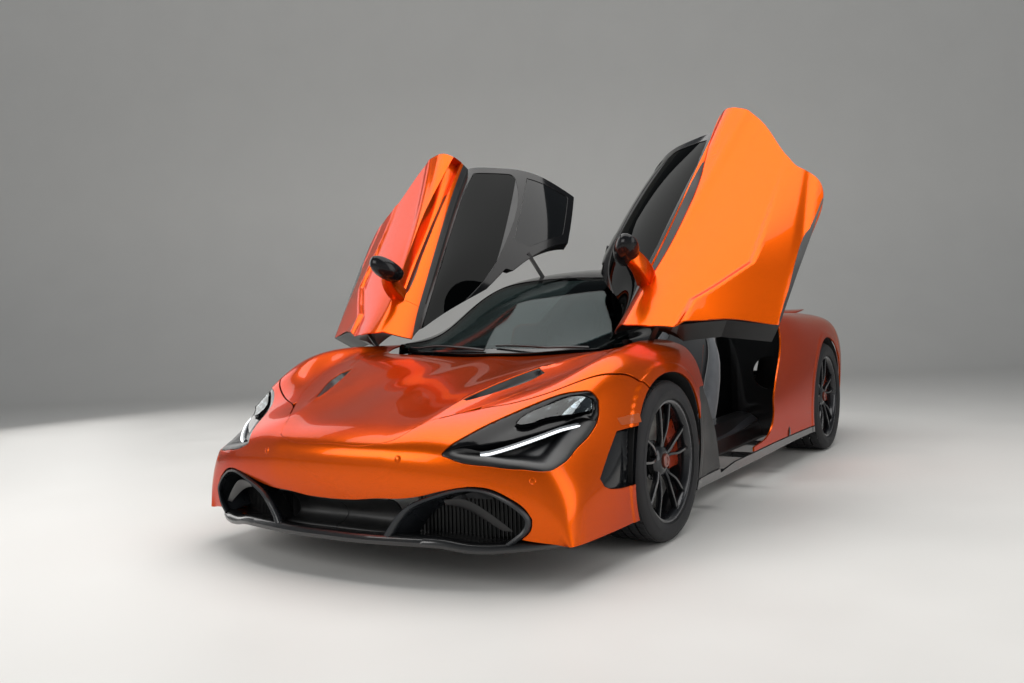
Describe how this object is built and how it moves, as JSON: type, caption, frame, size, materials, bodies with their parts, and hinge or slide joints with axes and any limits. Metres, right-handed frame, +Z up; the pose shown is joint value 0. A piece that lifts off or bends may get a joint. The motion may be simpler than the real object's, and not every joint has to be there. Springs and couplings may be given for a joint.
{
  "type": "mid-engine sports car with upward-swinging doors",
  "caption": "Low two-seat mid-engine coupe on four road wheels, with its long doors swung up and forwards, a front luggage lid and a tilting rear wing.",
  "frame": {"origin": "on the ground, on the centre plane, at the middle of the car's length", "axes": "+X is the car's left side, the nose points along -Y, +Z is up; the length lies along Y"},
  "size_m": [2.7432, 4.543, 1.9378],
  "materials": {
    "alloy": "cast and machined",
    "black_gloss": "gloss black",
    "caliper": "orange red enamel",
    "carbon": "satin woven carbon",
    "dash": "soft charcoal skin",
    "disc_iron": "machined face",
    "engine_alloy": "cast",
    "exhaust_steel": "heat tinted",
    "lamp": "clear cover over a black socket",
    "leather": "charcoal leather",
    "liner": "rough moulded",
    "mirror_cap": "dark grey gloss",
    "paint": "deep metallic orange under clear coat",
    "rim_black": "gloss black enamel",
    "screen_glass": "dark tinted",
    "tail_lamp": "red lens",
    "tub_carbon": "satin carbon shell",
    "tyre": "matt black rubber",
    "wheel_rim": "stitched black leather"
  },
  "bodies": {
    "chassis": {"arch_liners": "liner", "dashboard": "dash", "diffuser": "carbon", "engine": "engine_alloy", "engine_cover": "black_gloss", "exhausts": "exhaust_steel", "front_bumper": "paint", "front_fenders": "paint", "front_frame": "alloy", "front_intakes": "black_gloss", "front_wishbones": "alloy", "headlamps": "lamp", "rear_bumper": "black_gloss", "rear_calipers": "caliper", "rear_deck": "paint", "rear_frame": "alloy", "rear_quarters": "paint", "rear_uprights": "alloy", "rear_windows": "screen_glass", "rear_wishbones": "alloy", "roof_frame": "black_gloss", "seats": "leather", "side_intakes": "black_gloss", "side_skirts": "carbon", "splitter": "carbon", "steering_wheel": "wheel_rim", "tail_lamps": "tail_lamp", "tub": "tub_carbon", "windscreen": "screen_glass"},
    "door_left": {"door_left": "paint", "door_glass_left": "screen_glass", "mirror_left": "mirror_cap"},
    "door_right": {"door_right": "paint", "door_glass_right": "screen_glass", "mirror_right": "mirror_cap"},
    "bonnet": {"bonnet": "paint"},
    "rear_wing": {"rear_wing": "carbon"},
    "steer_left": {"knuckle_left": "alloy", "caliper_front_left": "caliper"},
    "steer_right": {"knuckle_right": "alloy", "caliper_front_right": "caliper"},
    "wheel_front_left": {"tyre_front_left": "tyre", "rim_front_left": "rim_black", "disc_front_left": "disc_iron"},
    "wheel_front_right": {"tyre_front_right": "tyre", "rim_front_right": "rim_black", "disc_front_right": "disc_iron"},
    "wheel_rear_left": {"tyre_rear_left": "tyre", "rim_rear_left": "rim_black", "disc_rear_left": "disc_iron"},
    "wheel_rear_right": {"tyre_rear_right": "tyre", "rim_rear_right": "rim_black", "disc_rear_right": "disc_iron"}
  },
  "joints": [
    {"name": "door_left_swing", "type": "hinge", "parent": "chassis", "child": "door_left", "pos_m": [0.177, -0.27, 1.132], "axis": [-0.4998, 0.7183, 0.4841], "range_deg": [0, 74]},
    {"name": "door_right_swing", "type": "hinge", "parent": "chassis", "child": "door_right", "pos_m": [-0.177, -0.27, 1.132], "axis": [-0.4998, -0.7183, -0.4841], "range_deg": [0, 74]},
    {"name": "bonnet_lift", "type": "hinge", "parent": "chassis", "child": "bonnet", "pos_m": [0, -1.092, 0.73], "axis": [-1, 0, 0], "range_deg": [0, 45]},
    {"name": "rear_wing_tilt", "type": "hinge", "parent": "chassis", "child": "rear_wing", "pos_m": [0, 1.952, 0.888], "axis": [1, 0, 0], "range_deg": [0, 45]},
    {"name": "steering", "type": "hinge", "parent": "chassis", "child": "steer_left", "pos_m": [0.808, -1.262, 0.327], "axis": [0, 0, 1], "range_deg": [-30, 30]},
    {"name": "wheel_front_left_spin", "type": "hinge", "parent": "steer_left", "child": "wheel_front_left", "pos_m": [0.837, -1.262, 0.327], "axis": [1, 0, 0], "continuous": true},
    {"name": "wheel_rear_left_spin", "type": "hinge", "parent": "chassis", "child": "wheel_rear_left", "pos_m": [0.8145, 1.408, 0.3455], "axis": [1, 0, 0], "continuous": true},
    {"name": "steering_right", "type": "hinge", "parent": "chassis", "child": "steer_right", "pos_m": [-0.808, -1.262, 0.327], "axis": [0, 0, 1], "range_deg": [-30, 30]},
    {"name": "wheel_front_right_spin", "type": "hinge", "parent": "steer_right", "child": "wheel_front_right", "pos_m": [-0.837, -1.262, 0.327], "axis": [1, 0, 0], "continuous": true},
    {"name": "wheel_rear_right_spin", "type": "hinge", "parent": "chassis", "child": "wheel_rear_right", "pos_m": [-0.8145, 1.408, 0.3455], "axis": [1, 0, 0], "continuous": true}
  ],
  "couplings": [
    {"joint": "steering_right", "follows": "steering", "ratio": 1}
  ]
}
